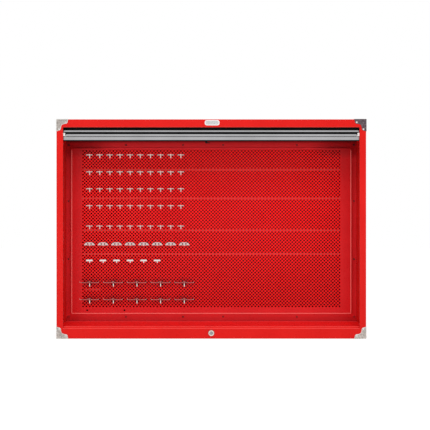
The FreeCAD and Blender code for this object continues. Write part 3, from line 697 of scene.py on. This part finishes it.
def perforated(name, centres):
    """A sheet of square cells that stand on their corners, each with a round hole through it."""
    reach = HOLE_PITCH / 2
    quarter = HOLE_SIDES // 4
    points = []
    faces = []
    for x, z in centres:
        start = len(points)
        corners = [(reach, 0), (0, reach), (-reach, 0), (0, -reach)]
        points += [place(x + u, TRAY_FACE, z + v) for u, v in corners]
        ring = circle(x, z, HOLE_R, HOLE_SIDES)
        points += [place(u, TRAY_FACE, v) for u, v in ring]
        points += [place(u, TRAY_FACE + SHEET, v) for u, v in ring]
        front = start + 4
        back = front + HOLE_SIDES
        for side in range(4):
            here = start + side
            there = start + (side + 1) % 4
            arc = [front + (side * quarter + i) % HOLE_SIDES for i in range(quarter + 1)]
            middle = len(arc) // 2
            faces += [(here, arc[i + 1], arc[i]) for i in range(middle)]
            faces.append((here, there, arc[middle]))
            faces += [(there, arc[i + 1], arc[i]) for i in range(middle, quarter)]
        for i in range(HOLE_SIDES):
            j = (i + 1) % HOLE_SIDES
            faces.append((front + i, front + j, back + j, back + i))
    return mesh_object(name, points, faces)


def face_border():
    """The plain strip round the perforation, which fits its zigzag edge."""
    reach = HOLE_PITCH / 2
    left = GRID_LEFT
    right = -left
    bottom = GRID_TOP - HOLE_PITCH * (GRID_ROWS - 1)
    columns = [HOLE_PITCH * i for i in range(GRID_COLUMNS)]
    inner = []
    for across in columns:
        inner += [(left + across - reach, GRID_TOP), (left + across, GRID_TOP + reach)]
    inner.append((right + reach, GRID_TOP))
    for i in range(1, GRID_ROWS):
        inner.append((right, GRID_TOP - HOLE_PITCH * (i - 0.5)))
        inner.append((right + reach, GRID_TOP - HOLE_PITCH * i))
    for across in columns:
        inner += [(right - across, bottom - reach), (right - across - reach, bottom)]
    for i in range(1, GRID_ROWS):
        inner.append((left, bottom + HOLE_PITCH * (i - 0.5)))
        inner.append((left - reach, bottom + HOLE_PITCH * i))
    holes = [circle(x, SPARE_HOLE_Z, SPARE_HOLE_R) for x in SPARE_HOLE_XS]
    # The last point falls on the first
    loops = [tray_outline(RIM_START), inner[:-1], *holes]
    return plate("board_border", loops, TRAY_FACE, SHEET)


def tray_outline(inset):
    return rounded_rectangle(
        TRAY_HALF_W - inset, TRAY_BOTTOM + inset, TRAY_TOP - inset, TRAY_CORNER_R - inset
    )


def tray_wall():
    """The tray's raised rim, its side and the fold at its foot, all the way round."""
    shares = [i / RIM_STEPS for i in range(RIM_STEPS + 1)]
    turns = [math.radians(90 * i / RIM_STEPS) for i in range(RIM_STEPS + 1)]
    profile = []
    for share in shares:
        rise = RIM_H * share * share * (3 - 2 * share)
        profile.append((RIM_START + (RIM_TOP - RIM_START) * share, TRAY_FACE - rise))
    for angle in turns[1:]:
        inset = RIM_TOP * (1 - math.sin(angle))
        profile.append((inset, TRAY_FACE - RIM_H + RIM_TOP * (1 - math.cos(angle))))
    for angle in turns:
        inset = -FOOT_FOLD_R * (1 - math.cos(angle))
        profile.append((inset, FLANGE_DEPTH - FOOT_FOLD_R * (1 - math.sin(angle))))
    points = []
    for inset, depth in profile:
        outline = tray_outline(inset)
        points += [place(x, depth, z) for x, z in outline]
    return mesh_object("tray_wall", points, ring_faces(len(profile), len(outline)), smooth=True)


def board_flange():
    half = board_high.x / MM
    low = (board_low.z - shell_low.z) / MM
    high = (board_high.z - shell_low.z) / MM
    foot = tray_outline(-FOOT_FOLD_R)
    outer = [(-half, low), (half, low), (half, high), (-half, high)]
    holes = [circle(x, z, WALL_HOLE_R) for x, z in WALL_HOLES]
    return plate("board_flange", [outer, foot, *holes], FLANGE_DEPTH, SHEET)


def build_board():
    middle = GRID_ROWS
    last = 2 * GRID_ROWS - 1
    finishes = (
        (perforated("board_upper_half", hole_centres(0, middle)), "face_paint"),
        (perforated("board_lower_half", hole_centres(middle, last)), "face_paint"),
        (joined("board_edge", [tray_wall(), board_flange()]), "rim_paint"),
        (face_border(), "border_paint"),
    )
    for obj, finish in finishes:
        dress(obj, "case", finish, stands_for=["tool_board"])


def build_screws():
    """Button heads with a round recess, on the board's flange."""
    places = [(x, z) for x in SCREW_XS for z in WALL_HOLE_ZS]
    places += [(x, z) for x in WALL_HOLE_XS for z in SCREW_ZS]
    screws = turned_set("board_screws", SCREW_PROFILE, FLANGE_DEPTH, places, sides=18)
    dress(screws, "case", "screw_paint")


def build_plugs():
    """Caps that close the wall bolt holes until the case is bolted to a wall."""
    plugs = turned_set("wall_hole_plugs", PLUG_PROFILE, FLANGE_DEPTH, WALL_HOLES, sides=24)
    dress(plugs, "case", "plug_plastic")


# Curtain


def stored_height(closed_height, travel):
    """Where a point of the closed curtain waits behind the top flange while the shutter is open."""
    low, high = 0.0, 1.0
    for _ in range(60):
        share = (low + high) / 2
        weight = share * share * (3 - 2 * share)
        if STORE_TOP - share * STORE_H - weight * travel > closed_height:
            low = share
        else:
            high = share
    if closed_height < STORE_TOP - STORE_H - travel:
        return closed_height + travel
    return STORE_TOP - low * STORE_H


def curtain_strips(name, strips, half, seat, travel, with_ends):
    """Strips across the opening, each from rows of (closed height, thickness before the seat)."""
    points = []
    faces = []
    for rows in strips:
        start = len(points)
        last = start + 2 * (len(rows) - 1)
        for height, thickness in rows:
            z = stored_height(height, travel)
            points += [place(x, seat - thickness, z) for x in (-half, half)]
        faces += [(a, a + 1, a + 3, a + 2) for a in range(start, last, 2)]
        if with_ends:
            faces.append(tuple(range(last, start - 1, -2)))
            faces.append(tuple(range(start + 1, last + 2, 2)))
    return mesh_object(name, points, faces)


def build_curtain():
    """The slats that come out of the coil as the shutter closes.

    They are built as they wait while the shutter is open, pressed together behind the top flange:
    each point stands where it waits for its height when the shutter is shut.
    """
    slide = next(j for j in frame["joints"] if j["name"] == "shutter_slide")
    travel = slide["range_m"][1] / MM
    slat_low, slat_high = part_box("lower_slat")
    web_low, web_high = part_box("lower_web")
    half = slat_high.x / MM
    seat = (web_low.y - shell_low.y) / MM
    first = ((slat_low.z + slat_high.z) / 2 - shell_low.z) / MM - travel + FIRST_GAP
    web_start = (web_high.z - shell_low.z) / MM - travel
    slat_count = int((STORE_TOP - STORE_H - first) / SLAT_PITCH)
    web_rows = int((STORE_TOP - WEB_END_GAP - web_start) / WEB_STEP)
    middles = [first + SLAT_PITCH * i for i in range(1, slat_count + 1)]
    sections = [[(middle + up, t) for up, t in SLAT_SECTION] for middle in middles]
    flat = [(web_start + WEB_STEP * i, 0.0) for i in range(web_rows)]
    slats = curtain_strips("paid_out_slats", sections, half, seat, travel, with_ends=True)
    web = curtain_strips("paid_out_web", [flat], half, seat + WEB_T, travel, with_ends=False)
    for obj, name in ((slats, "anodised"), (web, "dark_web")):
        paint(obj, name)
        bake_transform(obj)
    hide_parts("curtain_run")
    build_bend(seat + WEB_T / 2, half)


def build_bend(depth, half):
    """The stretch that always bends from the guides back onto the coil."""
    run_low, run_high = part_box("curtain_run")
    start_z = (run_low.z - shell_low.z) / MM
    end_depth = (run_high.y - shell_low.y) / MM
    across = end_depth - depth
    radius = (across ** 2 + BEND_RISE ** 2) / (2 * across)
    sweep = math.atan2(BEND_RISE, radius - across)
    points = []
    for i in range(BEND_STEPS + 1):
        angle = sweep * i / BEND_STEPS
        bent_depth = depth + radius * (1 - math.cos(angle))
        z = start_z + radius * math.sin(angle)
        points += [place(x, bent_depth, z) for x in (-half, half)]
    faces = [(a, a + 1, a + 3, a + 2) for a in range(0, 2 * BEND_STEPS, 2)]
    bend = mesh_object("curtain_bend", points, faces, smooth=True)
    dress(bend, "case", "dark_web", stands_for=["curtain_run"])


# Front details


def badge_outline(inset):
    outline = rounded_rectangle(
        BADGE_HALF_W - inset, BADGE_LOW + inset, BADGE_HIGH - inset, BADGE_CORNER_R - inset
    )
    return [(x + BADGE_X, z) for x, z in outline]


def build_badge():
    """The bare plate in the middle of the top flange: a raised rim round a matt field."""
    outer, inner = badge_outline(0.0), badge_outline(BADGE_RIM_W)
    rim = plate("badge_rim", [outer, inner], -BADGE_RIM_T, BADGE_RIM_T, BADGE_EDGE_R)
    field = plate("badge_field", [inner], -BADGE_FIELD_T, BADGE_FIELD_T)
    dress(joined("bare_badge", [rim]), "case", "badge_plate")
    dress(field, "case", "badge_field")


def build_rivets():
    """Two domed rivets in the front of each corner guard."""
    places = [
        (side * (CASE_HALF_W - along), up if low else CASE_H - up)
        for side in (-1, 1) for low in (True, False) for along, up in RIVET_PLACES
    ]
    rivets = turned_set("guard_rivets", RIVET_PROFILE, 0.0, places, sides=16)
    dress(rivets, "case", "rivet_steel")


# CAD nodes whose finish isn't their slot's usual one, and the width that a node's edges are
# rounded to, both by a part of the node's name
OTHER_FINISH = {
    "tool_clips": "clip_chrome", "ring_holders": "ring_chrome", "wide_brackets": "bracket_chrome",
    "bottom_panel": "floor_paint", "back_panel": "back_paint", "lock_plug": "plug_nickel",
    "bottom_rail": "rail_finish", "lower_slat": "slat_finish",
    "upper_right_corner_guard": "guard_steel_painted_dark_reflection", "board_stiffeners": "stiffener_paint",
}
EDGE_WIDTH = {
    "corner_guard": 0.7, "tool_clips": 0.35, "wide_brackets": 0.35, "ring_holders": 0.35,
    "plate_holders": 0.35, "lock_body": 0.3, "lock_plug": 0.3, "bottom_rail": 0.3,
    "lower_slat": 0.3,
}


def entry(table, node_name, other=None):
    return next((value for part, value in table.items() if part in node_name), other)


def finish_cad_nodes():
    slots = {s["node"]: s["material_slot"] for s in frame["record"]["subparts"]}
    for name, obj in frame["nodes"].items():
        paint(obj, entry(OTHER_FINISH, name, slots[name]))
        width = entry(EDGE_WIDTH, name)
        if width:
            polish(obj, width)


# Stage

FLOOR_HALF = 12.0
FILL = 0.57
LAMP_TARGET = (0.0, 0.0, 0.45)
# Where each lamp hangs, how large it is, in metres, and its power in watts
LAMPS = {
    "key": ((-0.3, -3.2, 0.8), (2.6, 1.4), 11.0),
    "low": ((0.0, -2.0, 0.22), (3.0, 0.35), 11.0),
    "top": ((0.0, -1.7, 2.6), (2.4, 1.2), 26.0),
}


def seen_directly(tree):
    """1 for what the camera, a reflection or a clear piece looks at, 0 for what only lights."""
    path = tree.nodes.new("ShaderNodeLightPath")
    first = either(tree, path.outputs["Is Camera Ray"], path.outputs["Is Glossy Ray"])
    return either(tree, first, path.outputs["Is Transmission Ray"])


def shown_white(name, lit_share):
    """A pale surface that a camera or a reflection sees as nearly white, with soft shadows."""
    made = bpy.data.materials.new(name)
    made.use_nodes = True
    tree = made.node_tree
    tree.nodes.clear()
    plain = node(tree, "ShaderNodeBsdfDiffuse", Color=(0.8, 0.8, 0.8, 1.0))
    faint = node(tree, "ShaderNodeBsdfDiffuse", Color=(lit_share, lit_share, lit_share, 1.0))
    glow = node(tree, "ShaderNodeEmission", Strength=1.0 - lit_share * 0.5)
    bright = tree.nodes.new("ShaderNodeAddShader")
    tree.links.new(faint.outputs[0], bright.inputs[0])
    tree.links.new(glow.outputs[0], bright.inputs[1])
    mix = tree.nodes.new("ShaderNodeMixShader")
    tree.links.new(seen_directly(tree), mix.inputs["Fac"])
    tree.links.new(plain.outputs[0], mix.inputs[1])
    tree.links.new(bright.outputs[0], mix.inputs[2])
    out = tree.nodes.new("ShaderNodeOutputMaterial")
    tree.links.new(mix.outputs[0], out.inputs["Surface"])
    return made


def build_floor():
    a = FLOOR_HALF
    corners = [(-a, -a, 0), (a, -a, 0), (a, a, 0), (-a, a, 0)]
    floor = mesh_object("floor", corners, [(0, 1, 2, 3)])
    floor.data.materials.append(shown_white("pale_floor", 0.3))


def build_world():
    world = bpy.data.worlds.new("studio")
    bpy.context.scene.world = world
    world.use_nodes = True
    tree = world.node_tree
    tree.nodes.clear()
    fill = node(tree, "ShaderNodeBackground", Color=(1, 1, 1, 1), Strength=FILL)
    backdrop = node(tree, "ShaderNodeBackground", Color=(1, 1, 1, 1), Strength=1.0)
    mix = tree.nodes.new("ShaderNodeMixShader")
    tree.links.new(seen_directly(tree), mix.inputs["Fac"])
    tree.links.new(fill.outputs[0], mix.inputs[1])
    tree.links.new(backdrop.outputs[0], mix.inputs[2])
    out = tree.nodes.new("ShaderNodeOutputWorld")
    tree.links.new(mix.outputs[0], out.inputs["Surface"])


def area_lamp(name, at, size, power):
    lamp = bpy.data.lights.new(name, "AREA")
    lamp.shape = "RECTANGLE"
    lamp.size, lamp.size_y = size
    lamp.energy = power
    obj = bpy.data.objects.new(name, lamp)
    obj.location = at
    aim = Vector(LAMP_TARGET) - Vector(at)
    obj.rotation_euler = aim.to_track_quat("-Z", "Y").to_euler()
    obj.visible_glossy = False
    bpy.context.scene.collection.objects.link(obj)


def build_lamps():
    for name, (at, size, power) in LAMPS.items():
        area_lamp(name, at, size, power)


# The photograph's view: the camera stands straight in front, and the object sits a little
# to the left of the picture's middle and below it.
VIEW_DISTANCE = 2600.0
VIEW_HEIGHT = 425.0
PICTURE = 430
SENSOR = 36.0
MM_PER_PIXEL = 3.872
OBJECT_MIDDLE_PIXEL = (211.3, 229.0)


def build_camera():
    data = bpy.data.cameras.new("camera")
    data.sensor_width = SENSOR
    data.lens = SENSOR * VIEW_DISTANCE / (PICTURE * MM_PER_PIXEL)
    data.shift_x = (PICTURE / 2 - OBJECT_MIDDLE_PIXEL[0]) / PICTURE
    data.shift_y = (OBJECT_MIDDLE_PIXEL[1] - PICTURE / 2) / PICTURE
    camera = bpy.data.objects.new("camera", data)
    camera.location = place(0, -VIEW_DISTANCE, VIEW_HEIGHT)
    camera.rotation_euler = (math.radians(90), 0, 0)
    bpy.context.scene.collection.objects.link(camera)
    bpy.context.scene.camera = camera


finish_cad_nodes()
build_board()
build_screws()
build_plugs()
build_curtain()
build_badge()
build_rivets()
build_floor()
build_world()
build_lamps()
build_camera()
bpy.context.scene.view_settings.view_transform = "Standard"
